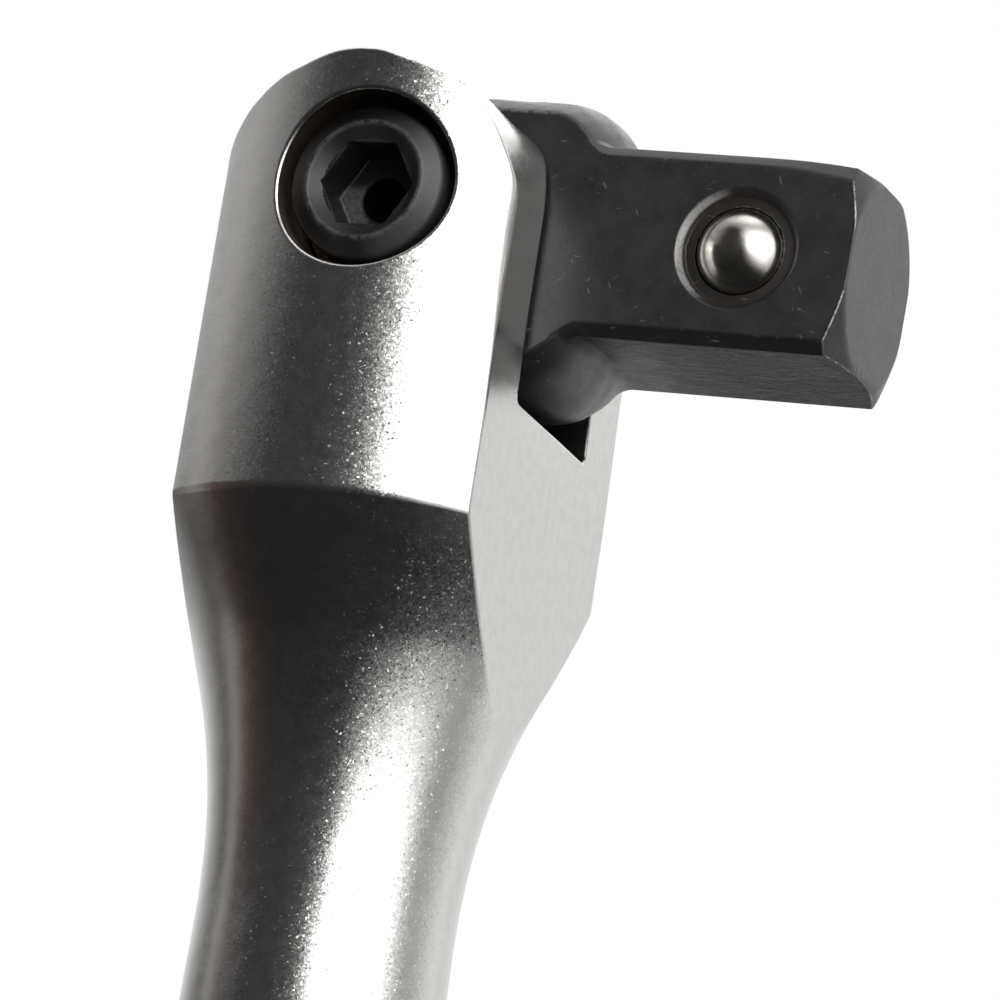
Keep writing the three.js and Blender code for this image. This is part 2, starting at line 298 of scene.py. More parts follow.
def lathe(name, outline, normals, segments, axis="Z", at=(0.0, 0.0, 0.0), bend=None):
    """a ring-shaped mesh in metres from a closed outline; bend(theta, r, z) may change a point's radius"""
    n = len(outline)
    th = np.arange(segments) * 2 * math.pi / segments
    r = np.tile(outline[:, 0], (segments, 1))
    z = np.tile(outline[:, 1], (segments, 1))
    T = np.tile(th[:, None], (1, n))
    if bend is not None:
        r = bend(T, r, z)
    c, s = np.cos(T), np.sin(T)
    nr, nz = np.tile(normals[:, 0], (segments, 1)), np.tile(normals[:, 1], (segments, 1))
    if axis == "Z":
        P, N = np.stack([r * c, r * s, z], -1), np.stack([nr * c, nr * s, nz], -1)
    else:   # about Y: the outline's second number runs along +Y
        P, N = np.stack([r * s, z, r * c], -1), np.stack([nr * s, nz, nr * c], -1)
    P = P.reshape(-1, 3) + np.array(at)
    i, j = np.meshgrid(np.arange(segments), np.arange(n), indexing="ij")
    a = i * n + j
    b = ((i + 1) % segments) * n + j
    F = np.stack([a, b, ((i + 1) % segments) * n + (j + 1) % n, i * n + (j + 1) % n], -1).reshape(-1, 4)
    me = raw_mesh(name, P * 0.001, [F])
    if bend is None:
        me.normals_split_custom_set_from_vertices(N.reshape(-1, 3).tolist())
    return me


def curve(points):
    """a smooth function through points, as a dense table, with straight ends"""
    x, y = np.array([p[0] for p in points], float), np.array([p[1] for p in points], float)
    if x[0] > x[-1]:
        x, y = x[::-1], y[::-1]
    d, w = np.diff(y) / np.diff(x), np.diff(x)
    m = np.concatenate([[d[0]], (d[:-1] * w[1:] + d[1:] * w[:-1]) / (w[1:] + w[:-1]), [d[-1]]])
    tx = np.linspace(x[0], x[-1], 6001)
    i = np.clip(np.searchsorted(x, tx, side="right") - 1, 0, len(x) - 2)
    h = x[i + 1] - x[i]
    t = (tx - x[i]) / h
    ty = y[i] * (2 * t**3 - 3 * t**2 + 1) + m[i] * h * (t**3 - 2 * t**2 + t) + y[i + 1] * (3 * t**2 - 2 * t**3) + m[i + 1] * h * (t**3 - t**2)

    def f(q):
        return np.interp(q, tx, ty) + np.minimum(q - tx[0], 0) * m[0] + np.maximum(q - tx[-1], 0) * m[-1]
    return f


def wave(x, y, z):
    """a slow, even waviness, as on a forging"""
    return (np.sin(0.83 * x + 0.41 * y + 0.37 * z + 0.6) * np.sin(0.29 * x - 0.77 * y + 0.53 * z + 1.9)
            + 0.6 * np.sin(1.31 * x + 0.93 * y - 0.71 * z + 4.1) * np.sin(0.57 * y + 1.17 * z - 0.83 * x + 2.2))


# ---------------------------------------------------------------- shapes
HEAD_R, FLAT_X, CREASE = 15.71, 10.1, -20.35
neck_r = curve([(-20.35, 15.71), (-22, 14.78), (-24, 13.62), (-26, 12.5), (-28, 11.46), (-30, 10.66), (-32, 9.99), (-34, 9.45),
                (-36, 9.02), (-40, 8.45), (-44, 8.25), (-48, 8.3), (-54, 8.45), (-64, 8.6), (-80, 8.6)])
# the fork's rounded top, as radius from the middle of the pivot by angle from +X: at the slot, and at the outer round side
top_in = curve([(-6, 9.955), (0, 9.9), (6.7, 9.95), (13.4, 10.07), (20, 10.25), (25, 10.40), (30, 10.33), (35, 10.07), (40, 9.80), (45, 9.66),
                (50, 9.62), (55, 9.66), (60, 9.74), (66, 9.8), (72, 9.86), (80, 9.94), (90, 9.99), (100, 9.94), (108, 9.86), (114, 9.8), (120, 9.74),
                (125, 9.66), (130, 9.62), (135, 9.65), (140, 9.73), (145, 9.9), (150, 10.13), (155, 10.36), (160, 10.44), (166.6, 10.38), (173.3, 10.17),
                (180, 10.1), (186, 10.156)])
top_out = curve([(-6, 9.955), (0, 9.9), (6.7, 9.82), (13.4, 9.62), (20, 9.46), (25, 9.40), (30, 9.35), (35, 9.30), (40, 9.26), (45, 9.22),
                 (49, 9.08), (53.5, 8.88), (57.6, 8.68), (62, 8.53), (66.5, 8.42), (71.2, 8.36), (76, 8.35), (81, 8.43), (86, 8.5), (91, 8.52),
                 (96, 8.57), (101.4, 8.62), (109.4, 8.71), (113.8, 8.74), (118.2, 8.8), (121.7, 8.87), (125.6, 9.02), (129.4, 9.21), (132.4, 9.35),
                 (135, 9.45), (139.6, 9.66), (143.8, 9.83), (149.6, 10.13), (154.3, 10.27), (160, 10.42), (166.6, 10.38), (173.3, 10.17), (180, 10.1), (186, 10.156)])


def handle(x, y, z):
    Z = z - PIV_Z
    rho = np.hypot(x, y)
    A = rho - HEAD_R
    N = (rho - neck_r(np.maximum(Z, -80.0))) * 0.88
    a2 = np.degrees(np.arctan2(Z, x))
    u = np.clip((np.abs(y) - 7.0) / (np.sqrt(np.maximum(HEAD_R ** 2 - x * x, 140.0)) - 7.0), 0, 1.1)
    T = np.where(Z > 0, (np.hypot(x, Z) - top_in(a2) - (top_out(a2) - top_in(a2)) * u ** 1.25) * 0.95, np.abs(x) - FLAT_X + 0.2 * np.clip((Z + 14.0) / 8.0, 0, 1) * np.clip(x / 6.0, 0, 1))
    body = smax(A, N, 0.14)
    # the edge beside the near face is polished rounder towards the hinge
    k = np.clip((Z + 12.0) / 11.0, 0, 1) * np.clip((2.5 - Z) / 3.0, 0, 1)
    body = smax(body, T, 0.16 - 0.12 * np.clip((Z - 3.5) / 2.0, 0, 1) * np.clip(x / 3.0, 0, 1) * np.clip(-y, 0, 1) + np.clip(x / 6.0, 0, 1) * np.clip(-y / 4.0, 0, 1) * 0.32 * k * k * (3 - 2 * k))
    body = body + 0.005 * (wave(x, y, z) + 1.6) * np.clip((z - 110.0) / 10.0, 0, 1)
    slot = smax(np.abs(y) - 6.8, -11.6 - Z, 0.6)
    body = smax(body, -slot, 0.15)
    q = np.hypot(x - PIV_X, Z)
    body = smax(body, -smax(q - 5.8, y + 9.6, 0.15), 0.32)
    body = smax(body, 4.12 - q, np.where(y > 12, 0.3, 0.12))
    tail = smax(rho - 7.0, np.abs(y) - 6.2, 0.2)
    body = np.maximum(body, np.minimum(112.6 - z, tail))
    return np.maximum(body, 30.4 - z)


def tang(x, y, z):
    rx = np.hypot(y, z)
    ay, az = np.abs(y), np.abs(z)
    h1 = np.where(rx > 5.75, np.where(x > 8.0, np.hypot(x - 8.0, rx - 5.75) - 4.65, rx - 10.4), x - 12.65)
    h3 = np.where(x < 0, np.hypot(x, z) - 10.4, az - 10.4)
    hub = smax(smax(h1, ay - 6.35, 0.2), h3, 0.3)
    hub = hub + 0.02 * wave(2.1 * x, 1.9 * y, 2.0 * z)
    # the chamfer beside the ball's face grows towards the end on its upper side
    grow = 0.37 * np.clip((x - 20.5) / 8.3, 0, 1.2) ** 2
    sq = smax(np.maximum(ay, az) - 6.35, (ay + az - 11.98) * 0.70711, 0.08)
    sq = smax(sq, 0.83 * -y + 0.558 * z - 8.42 + grow, 0.12)
    sq = smax(sq, 0.055 * -y + z - 6.70 + 0.92 * grow, 0.08)
    tip = smax((x - 29.75 + 0.47 * (rx - 6.6)) / 1.105, x - 29.75, 0.12)
    sq = smax(sq, tip, 0.07)
    sq = np.maximum(sq, 3.0 - x)
    b = np.maximum(smin(hub, sq, 0.7), ay - 6.35)
    b = smax(b, 4.07 - np.hypot(x, z), 0.25)
    w = np.hypot(x - 22.21, z)
    bore = np.maximum(np.maximum(w - 3.25, y - 4.2), -5.1 - y)
    throat = np.maximum(np.hypot(w, y + 4.3) - 3.22, y + 4.9)
    groove = np.maximum((w - 4.05 + 0.75 * (y + 6.35)) * 0.80, y + 5.75 - 0.10 * np.clip(w - 2.9, 0, 1))
    return smax(b, -np.minimum(np.minimum(bore, throat), groove), 0.05)


def screw(x, y, z):
    q = np.hypot(x, z)
    # head: turned cone on top, sunk below the counterbore's rim
    head = smax(q - 5.12, (-15.05 - y + 0.52 * (q - 3.82)) * 0.887, 0.25)
    head = smax(head, y + 10.56, 0.15)
    hx = np.maximum(np.abs(z), np.abs(z) * 0.5 + np.abs(x) * 0.8660254) - 2.7
    entry = (q - 3.8 + 1.1 * (y + 15.05)) * 0.673
    socket = smax(hx, y + 10.95, 0.12)
    drill = np.maximum(q - 1.46, y + 5.0)
    hole = np.minimum(np.minimum(socket, drill), np.maximum(entry, y + 14.3))
    # shank, and the thread in the far cheek
    th = np.arctan2(z, x)
    ph = np.mod(y / 1.25 - th / (2 * math.pi), 1.0)
    cut = 0.55 * np.abs(ph - 0.5) * 2 * np.clip((y - 7.2) / 1.0, 0, 1)
    shank = (q - 4.0 + np.clip(cut, 0, 0.48)) * 0.8
    shank = smax(shank, (q + y - 18.3) * 0.7071, 0.1)
    shank = smax(shank, y - 14.9, 0.1)
    shank = np.maximum(shank, -12.0 - y)
    # shallow turned dimple in the end
    shank = smax(shank, -(np.hypot(q, y - 16.6) - 2.2), 0.1)
    return smax(smin(head, shank, 0.25), -hole, 0.14)


cap_r = curve([(0, 11.5), (1.2, 12.35), (2.6, 13.05), (6, 13.3), (12, 13.32), (18, 13.2), (22, 13.0), (24, 12.9)])


def cap(x, y, z):
    rho = np.hypot(x, y)
    b = smax((rho - cap_r(z)) * 0.97, 0.005 - z, 1.1)
    b = smax(b, -(np.hypot(rho - 13.6, z - 18.6) - 0.75), 0.2)
    b = smax(b, z - 22.0, 0.5)
    b = smin(b, np.maximum(rho - 6.85, np.abs(z - 20.0) - 10.0), 0.1)
    return smax(b, 4.5 - np.hypot(x, z - 10.5), 1.3)


# ---------------------------------------------------------------- materials
class Nodes:
    """short calls for building a node tree"""

    def __init__(self, tree):
        self.t = tree

    def new(self, kind, **props):
        node = self.t.nodes.new(kind)
        for k, v in props.items():
            setattr(node, k, v)
        return node

    def put(self, socket, v):
        if isinstance(v, bpy.types.NodeSocket):
            self.t.links.new(v, socket)
        elif v is not None:
            socket.default_value = v

    def m(self, op, a, b=None, c=None, clamp=False):
        node = self.new("ShaderNodeMath", operation=op, use_clamp=clamp)
        for i, v in enumerate((a, b, c)):
            self.put(node.inputs[i], v)
        return node.outputs[0]

    def add(self, a, b): return self.m("ADD", a, b)
    def sub(self, a, b): return self.m("SUBTRACT", a, b)
    def mul(self, a, b): return self.m("MULTIPLY", a, b)
    def mx(self, a, b): return self.m("MAXIMUM", a, b)
    def mn(self, a, b): return self.m("MINIMUM", a, b)

    def ramp(self, v, lo, hi, a=0.0, b=1.0, smooth=True):
        node = self.new("ShaderNodeMapRange", interpolation_type="SMOOTHSTEP" if smooth else "LINEAR", clamp=True)
        for i, x in enumerate((v, lo, hi, a, b)):
            self.put(node.inputs[i], x)
        return node.outputs[0]

    def xyz(self, v):
        node = self.new("ShaderNodeSeparateXYZ")
        self.put(node.inputs[0], v)
        return node.outputs

    def combine(self, x, y, z):
        node = self.new("ShaderNodeCombineXYZ")
        for i, v in enumerate((x, y, z)):
            self.put(node.inputs[i], v)
        return node.outputs[0]

    def scaled(self, v, scale, turn=(0, 0, 0), shift=(0, 0, 0)):
        node = self.new("ShaderNodeMapping")
        self.put(node.inputs[0], v)
        node.inputs["Location"].default_value = shift
        node.inputs["Rotation"].default_value = turn
        node.inputs["Scale"].default_value = (scale,) * 3 if isinstance(scale, (int, float)) else scale
        return node.outputs[0]

    def noise(self, co, scale=1.0, detail=2.0, rough=0.5, warp=0.0):
        node = self.new("ShaderNodeTexNoise")
        self.put(node.inputs["Vector"], co)
        node.inputs["Scale"].default_value = scale
        node.inputs["Detail"].default_value = detail
        node.inputs["Roughness"].default_value = rough
        node.inputs["Distortion"].default_value = warp
        return node.outputs[0]

    def cells(self, co, scale=1.0, feature="F1", rnd=1.0):
        node = self.new("ShaderNodeTexVoronoi", feature=feature)
        self.put(node.inputs["Vector"], co)
        node.inputs["Scale"].default_value = scale
        node.inputs["Randomness"].default_value = rnd
        return node.outputs["Distance"]

    def mix(self, f, a, b):
        node = self.new("ShaderNodeMix", data_type="RGBA")
        self.put(node.inputs[0], f)
        for s, v in ((node.inputs[6], a), (node.inputs[7], b)):
            self.put(s, (*v, 1.0) if isinstance(v, tuple) and len(v) == 3 else v)
        return node.outputs[2]

    def bump(self, height, distance, strength=1.0, normal=None):
        node = self.new("ShaderNodeBump")
        node.inputs["Strength"].default_value = strength
        node.inputs["Distance"].default_value = distance
        self.put(node.inputs["Height"], height)
        if normal is not None:
            self.put(node.inputs["Normal"], normal)
        return node.outputs[0]


def material(name, **const):
    mat = bpy.data.materials.new(name)
    mat.use_nodes = True
    tree = mat.node_tree
    shader = next(n for n in tree.nodes if n.type == "BSDF_PRINCIPLED")
    for k, v in const.items():
        shader.inputs[k.replace("_", " ")].default_value = v
    n = Nodes(tree)
    mm = n.new("ShaderNodeVectorMath", operation="SCALE")
    n.put(mm.inputs[0], n.new("ShaderNodeTexCoord").outputs["Object"])
    mm.inputs["Scale"].default_value = 1000.0      # object coordinates in millimetres
    return mat, n, shader, mm.outputs[0]


def chrome():
    mat, n, s, co = material("satin_chrome", Metallic=1.0)
    grain = n.noise(co, 10.5, 1.0, 0.5)
    fine = n.noise(co, 4.6, 1.0, 0.5)
    slow = n.noise(co, 0.33, 2.0, 0.5)
    tone = n.noise(co, 1.1, 3.0, 0.6)
    # dimples of uneven depth, most of them faint, which make the sparse bright points
    def dimples(scale, power):
        cell = n.new("ShaderNodeTexVoronoi", feature="F1")
        n.put(cell.inputs["Vector"], co)
        cell.inputs["Scale"].default_value = scale
        depth = n.m("POWER", n.xyz(cell.outputs["Color"])[0], power)
        return n.mul(n.ramp(cell.outputs["Distance"], 0.0, 0.45, 1.0, 0.0), depth)
    dimple = n.mul(dimples(7.0, 9.0), 0.6)
    # the plating's tiny crystals, which lean each its own way, few of them by much
    flake = n.new("ShaderNodeTexVoronoi", feature="F1")
    n.put(flake.inputs["Vector"], co)
    flake.inputs["Scale"].default_value = 8.6
    lean = n.new("ShaderNodeVectorMath", operation="SUBTRACT")
    n.put(lean.inputs[0], flake.outputs["Color"])
    lean.inputs[1].default_value = (0.5, 0.5, 0.5)
    reach = n.new("ShaderNodeVectorMath", operation="LENGTH")
    n.put(reach.inputs[0], lean.outputs[0])
    tilt = n.new("ShaderNodeVectorMath", operation="SCALE")
    n.put(tilt.inputs[0], lean.outputs[0])
    x, y, z = n.xyz(co)
    az = n.m("ARCTAN2", x, n.mul(y, -1.0))
    smooth = n.mul(n.ramp(az, -0.42, -0.04, 0.08, 1.0), n.mx(n.ramp(az, 0.52, 0.33, 0.12, 1.0), n.ramp(z, PIV_Z - 21.0, PIV_Z - 23.0)))
    n.put(tilt.inputs["Scale"], n.mul(n.add(n.ramp(reach.outputs["Value"], 0.56, 0.80, 0.0, 0.19), 0.068), smooth))
    tilted = n.new("ShaderNodeVectorMath", operation="ADD")
    n.put(tilted.inputs[0], n.new("ShaderNodeNewGeometry").outputs["Normal"])
    n.put(tilted.inputs[1], tilt.outputs[0])
    facing = n.new("ShaderNodeVectorMath", operation="NORMALIZE")
    n.put(facing.inputs[0], tilted.outputs[0])
    # darker, browner and rougher inside the screw's recess
    qx, qz = n.sub(x, PIV_X), n.sub(z, PIV_Z)
    q = n.m("SQRT", n.add(n.mul(qx, qx), n.mul(qz, qz)))
    deep = n.add(y, n.m("SQRT", n.mx(n.sub(HEAD_R * HEAD_R, n.mul(x, x)), 1.0)))
    recess = n.mul(n.mul(n.ramp(q, 6.15, 5.95), n.ramp(deep, 0.12, 0.5)), n.ramp(y, 0.0, -1.0))
    plate = n.mix(n.ramp(tone, 0.3, 0.7), (0.53, 0.525, 0.516), (0.57, 0.566, 0.557))
    # painted light: paler plating on the near cheek's flat beside the slot, which lightens the reflection there
    painted_light_strip = n.mul(n.mul(n.ramp(x, 9.6, 9.85), n.ramp(z, PIV_Z - 12.0, PIV_Z - 9.5)), n.ramp(y, 0.0, -1.0))
    plate = n.mix(painted_light_strip, plate, (0.80, 0.79, 0.775))
    n.put(s.inputs["Base Color"], n.mix(recess, plate, (0.33, 0.27, 0.215)))
    n.put(s.inputs["Roughness"], n.add(n.ramp(n.add(n.mul(tone, 0.5), n.mul(grain, 0.5)), 0.35, 0.65, 0.20, 0.25), n.mul(recess, 0.2)))
    b = n.bump(slow, 0.00008, 0.07, facing.outputs[0])
    b = n.bump(n.add(n.add(n.mul(grain, 0.18), n.mul(fine, 0.05)), n.mul(dimple, -0.85)), 0.00002, 1.0, b)
    n.put(s.inputs["Normal"], b)
    return mat


def black_steel(name, kind):
    """black-finished steel, with slight wear, and with painted shade and painted light in places; the object's own
    coordinates are about the hinge axis
    """
    mat, n, s, co = material(name, IOR=1.48 if kind == "tang" else 1.41)
    if kind == "tang":
        co = n.scaled(co, 1.0, (0, -DROOP, 0))
    x, y, z = n.xyz(co)
    ay, az = n.m("ABSOLUTE", y), n.m("ABSOLUTE", z)
    near = lambda a, w: n.ramp(n.m("ABSOLUTE", a), 0.0, w, 1.0, 0.0)
    both = lambda a, b, w: n.mul(near(a, w), near(b, w))
    chips = n.noise(co, 3.1, 3.0, 0.6)
    rare = n.noise(co, 1.3, 2.0, 0.5)
    blot = n.noise(co, 0.45, 3.0, 0.55)
    if kind == "tang":
        rx = n.m("SQRT", n.add(n.mul(y, y), n.mul(z, z)))
        side = n.sub(n.mx(ay, az), 6.35)
        cham = n.mul(n.sub(n.add(ay, az), 11.98), 0.7071)
        cone = n.m("DIVIDE", n.add(n.sub(x, 29.75), n.mul(n.sub(rx, 6.6), 0.47)), 1.105)
        on_sq = n.ramp(x, 12.0, 13.5)
        e1 = n.mul(both(side, cone, 0.10), n.ramp(rare, 0.32, 0.52, 0.12, 0.6))
        e2 = n.mul(n.mul(both(side, cham, 0.09), on_sq), n.ramp(rare, 0.60, 0.72, 0.0, 0.07))
        e3 = n.mul(both(cham, cone, 0.12), 0.12)
        dx = n.sub(x, 22.21)
        w = n.m("SQRT", n.add(n.mul(dx, dx), n.mul(z, z)))
        lit = n.ramp(n.add(n.mul(dx, -0.97), n.mul(z, 0.1)), 1.2, 3.4)       # the ring's left wall, rubbed bright, but only on the side the light falls on: partly wear, partly a painted highlight
        ring_wall_wear_and_highlight = n.mul(n.mul(n.mul(near(n.sub(w, 3.86), 0.30), n.ramp(y, -5.85, -6.0)), lit), 0.72)
        e6 = n.mul(n.mul(near(n.sub(w, 2.92), 0.08), n.ramp(y, -5.5, -5.65)), n.ramp(n.add(x, z), 23.4, 26.0, 0.0, 0.3))
        hub = n.mul(n.mul(near(n.sub(rx, 10.4), 0.22), near(n.add(ay, -6.35), 0.25)), n.mul(n.ramp(x, 9.5, 8.0), 0.2))
        edge = n.mx(n.mx(n.mx(e1, e2), e3), n.mx(e6, hub))
        groove = n.mul(n.ramp(w, 4.1, 3.95), n.ramp(y, -6.3, -6.1))
        under = n.ramp(z, -5.2, -6.3)
        painted_light_under_shoulder = n.mul(n.mul(under, n.ramp(y, -5.2, -1.8)), n.mul(n.ramp(x, 9.6, 11.6), n.ramp(x, 22.0, 15.0)))   # painted light: the underside beneath the shoulder made lighter, in cloudy patches
        shade = n.mul(n.mul(under, n.ramp(y, -3.4, -5.2)), n.ramp(x, 14.2, 12.2))
        # painted shade masks: the square's lower bevel, and the lower part of the end cone
        low_bevel_shade = n.mul(n.mul(near(cham, 0.12), on_sq), n.ramp(z, -5.0, -5.3))
        low_nose_shade = n.mul(n.ramp(z, -3.0, -4.6), n.ramp(cone, -0.25, -0.08))
        deep = None
    else:
        q = n.m("SQRT", n.add(n.mul(x, x), n.mul(z, z)))
        ring_wall_wear_and_highlight = None
        edge = n.mul(n.mul(near(n.sub(q, 3.85), 0.3), n.ramp(y, -14.0, -14.3)), 0.05)
        deep = n.mul(n.ramp(q, 3.15, 2.95), n.ramp(y, -14.3, -13.7))     # inside the socket, darkened below as painted shade
    wear_and_highlight = n.mul(edge, n.ramp(chips, 0.36, 0.54, 0.1, 1.0))
    # on the tang the ring wall's mark joins the wear: partly wear, partly painted highlight
    if ring_wall_wear_and_highlight is not None:
        wear_and_highlight = n.mx(wear_and_highlight, n.mul(ring_wall_wear_and_highlight, n.ramp(chips, 0.3, 0.5, 0.5, 1.0)))
    # a few short light scratches, and specks
    def scratch(turn, seed, cut):
        v = n.noise(n.scaled(n.scaled(co, 1.0, turn), (5.0, 5.0, 1.0), (0, 0, 0), (seed, seed * 0.7, seed * 1.3)), 1.0, 0.0, 0.5)
        return n.ramp(v, cut, cut + 0.04)
    lines = n.mx(scratch((0, 0.45, 0), 3.0, 0.80), n.mx(scratch((0, -0.9, 0.2), 11.0, 0.80), scratch((0, 1.45, 0), 23.0, 0.79)))
    specks = n.ramp(n.cells(co, 2.1), 0.10, 0.04)
    lines = n.mul(lines, n.ramp(n.noise(co, 0.8, 1.0, 0.5), 0.50, 0.62))
    marks = n.mx(n.mul(lines, 0.45), n.mul(specks, n.ramp(rare, 0.42, 0.62, 0.0, 0.40)))
    if deep is not None:
        marks = n.mul(marks, 0.3)
    # steel showing through from wear and marks, and on the tang also the ring wall's painted highlight
    bare_and_highlight = n.mx(wear_and_highlight, n.mul(marks, 0.16))
    if kind == "tang":
        dark = n.mix(n.ramp(blot, 0.35, 0.65), (0.0125, 0.0118, 0.0120), (0.0160, 0.0152, 0.0156))
        dark = n.mix(n.mul(groove, 0.6), dark, (0.0150, 0.0120, 0.0092))
        mottle = n.noise(n.scaled(co, (0.45, 1.1, 1.1)), 1.0, 4.0, 0.6)
        # painted shade: the hub's near face darkened next to the near cheek, less towards its top
        dark = n.mix(n.mul(n.mul(n.ramp(x, 14.0, 10.5), n.ramp(y, -6.0, -6.3)), n.ramp(z, 6.0, 2.0, 0.0, 0.8)), dark, (0.0045, 0.0043, 0.0044))
        # painted shade: the underside darkened towards the square's end
        dark = n.mix(n.mul(under, n.ramp(x, 13.0, 19.0, 0.0, 0.85)), dark, (0.0062, 0.0060, 0.0060))
        dark = n.mix(n.mul(under, n.ramp(mottle, 0.42, 0.62)), dark, (0.0185, 0.0172, 0.0160))
        # painted shade: the end cone darkened, most at its bottom
        dark = n.mix(n.mul(n.ramp(cone, -0.25, -0.10), n.ramp(z, -6.0, 0.0, 0.75, 0.45)), dark, (0.0066, 0.0064, 0.0064))
        # painted light: lighter in cloudy patches under the shoulder
        dark = n.mix(n.mul(painted_light_under_shoulder, n.ramp(n.noise(co, 0.5, 4.0, 0.55), 0.36, 0.66, 0.35, 1.0)), dark, (0.060, 0.058, 0.057))
        # painted shade under the shoulder, on the lower bevel and on the lower part of the end cone
        dark = n.mix(n.mx(shade, n.mx(low_bevel_shade, n.mul(low_nose_shade, 0.8))), dark, (0.0065, 0.0062, 0.0062))
    else:
        dark = n.mix(n.ramp(blot, 0.35, 0.65), (0.0075, 0.0072, 0.0072), (0.0110, 0.0106, 0.0104))
        # painted shade: the head outside the socket's mouth darkened on its side towards -X and +Z
        dark = n.mix(n.mul(n.ramp(q, 3.6, 4.1), n.ramp(n.sub(x, n.mul(z, 0.6)), 1.5, -2.0)), dark, (0.0010, 0.0010, 0.0010))
        # painted light: the head outside the socket's mouth lightened on its side towards +X
        dark = n.mix(n.mul(n.ramp(q, 3.6, 4.1), n.ramp(n.sub(x, n.mul(z, 0.3)), 1.5, 3.5)), dark, (0.0240, 0.0235, 0.0230))
        # painted shade: the inside of the socket darkened
        dark = n.mix(deep, dark, (0.0045, 0.0043, 0.0043))
        # painted light: a pool of light on the left of the socket's floor, broken up by noise
        floor = n.mul(n.mul(n.ramp(y, -11.25, -11.05), n.ramp(q, 1.5, 1.65)), n.mul(n.ramp(x, -0.5, -1.4), n.ramp(z, 1.2, 0.3)))
        dark = n.mix(n.mul(floor, n.ramp(chips, 0.35, 0.6, 0.5, 1.0)), dark, (0.075, 0.072, 0.070))
    n.put(s.inputs["Base Color"], n.mix(bare_and_highlight, dark, (0.55, 0.54, 0.53)))
    n.put(s.inputs["Metallic"], bare_and_highlight)
    rough = n.add(n.ramp(blot, 0.3, 0.7, 0.39, 0.43), n.ramp(chips, 0.3, 0.7, -0.03, 0.03))
    if kind == "tang":
        rough = n.add(rough, n.mul(n.mul(under, n.ramp(x, 13.0, 19.0)), 0.10))
    n.put(s.inputs["Roughness"], n.sub(rough, n.mul(bare_and_highlight, 0.12)))
    b = n.bump(n.noise(co, 1.0, 2.0, 0.5), 0.00002, 0.3)
    b = n.bump(n.noise(co, 5.5, 2.0, 0.6), 0.000012, 0.7, b)
    b = n.bump(n.m("MULTIPLY", lines, -1.0), 0.000006, 1.0, b)
    if kind == "tang":      # the square's underside is cloudy and fibrous
        cloud = n.noise(n.scaled(co, (0.9, 2.2, 2.2)), 1.0, 4.0, 0.6)
        b = n.bump(n.mul(cloud, n.mul(under, on_sq)), 0.00006, 1.0, b)
    n.put(s.inputs["Normal"], b)
    return mat


def polished():
    mat, n, s, co = material("polished_steel", Metallic=1.0)
    v = n.noise(co, 2.0, 3.0, 0.6)
    n.put(s.inputs["Base Color"], n.mix(n.ramp(v, 0.4, 0.7), (0.50, 0.485, 0.46), (0.44, 0.425, 0.40)))
    n.put(s.inputs["Roughness"], n.ramp(n.noise(co, 1.1, 2.0, 0.5), 0.3, 0.7, 0.16, 0.22))
    pits = n.ramp(n.cells(co, 1.9), 0.09, 0.03)
    b = n.bump(n.add(n.mul(n.noise(co, 6.0, 2.0, 0.5), 0.5), n.mul(pits, -0.6)), 0.000006, 0.6)
    n.put(s.inputs["Normal"], b)
    return mat


def plain_steel():
    mat, n, s, co = material("spring_steel", Metallic=1.0)
    v = n.noise(co, 3.0, 3.0, 0.6)
    n.put(s.inputs["Base Color"], n.mix(n.ramp(v, 0.35, 0.65), (0.36, 0.35, 0.335), (0.48, 0.47, 0.455)))
    n.put(s.inputs["Roughness"], n.ramp(v, 0.3, 0.7, 0.26, 0.42))
    n.put(s.inputs["Normal"], n.bump(n.noise(co, 9.0, 1.0, 0.5), 0.00001, 0.5))
    return mat


def hard_plastic():
    mat, n, s, co = material("grip_hard", IOR=1.49)
    v = n.noise(co, 0.6, 3.0, 0.6)
    n.put(s.inputs["Base Color"], n.mix(n.ramp(v, 0.3, 0.7), (0.0125, 0.013, 0.0145), (0.020, 0.0205, 0.022)))
    spark = n.cells(co, 3.6, "SMOOTH_F1")
    n.put(s.inputs["Roughness"], n.ramp(n.noise(co, 2.5, 2.0, 0.5), 0.3, 0.7, 0.36, 0.46))
    n.put(s.inputs["Normal"], n.bump(n.add(n.mul(spark, 0.6), n.mul(n.noise(co, 9.0, 2.0, 0.5), 0.4)), 0.00003, 0.6))
    return mat


def soft_grip():
    mat, n, s, co = material("grip_soft", IOR=1.45)
    v = n.noise(co, 0.35, 4.0, 0.6)
    fine = n.noise(co, 7.0, 3.0, 0.6)
    n.put(s.inputs["Base Color"], n.mix(n.ramp(n.add(n.mul(v, 0.7), n.mul(fine, 0.3)), 0.35, 0.65), (0.026, 0.027, 0.030), (0.046, 0.047, 0.051)))
    n.put(s.inputs["Roughness"], n.ramp(fine, 0.3, 0.7, 0.62, 0.78))
    s.inputs["Sheen Weight"].default_value = 0.12
    s.inputs["Sheen Roughness"].default_value = 0.5
    n.put(s.inputs["Normal"], n.bump(n.add(n.mul(n.cells(co, 4.5, "SMOOTH_F1"), 0.5), n.mul(fine, 0.5)), 0.00004, 0.6))
    return mat


CHROME, TANG, SCREW = chrome(), black_steel("black_steel", "tang"), black_steel("black_screw", "screw")
POLISHED, STEEL, HARD, SOFT = polished(), plain_steel(), hard_plastic(), soft_grip()


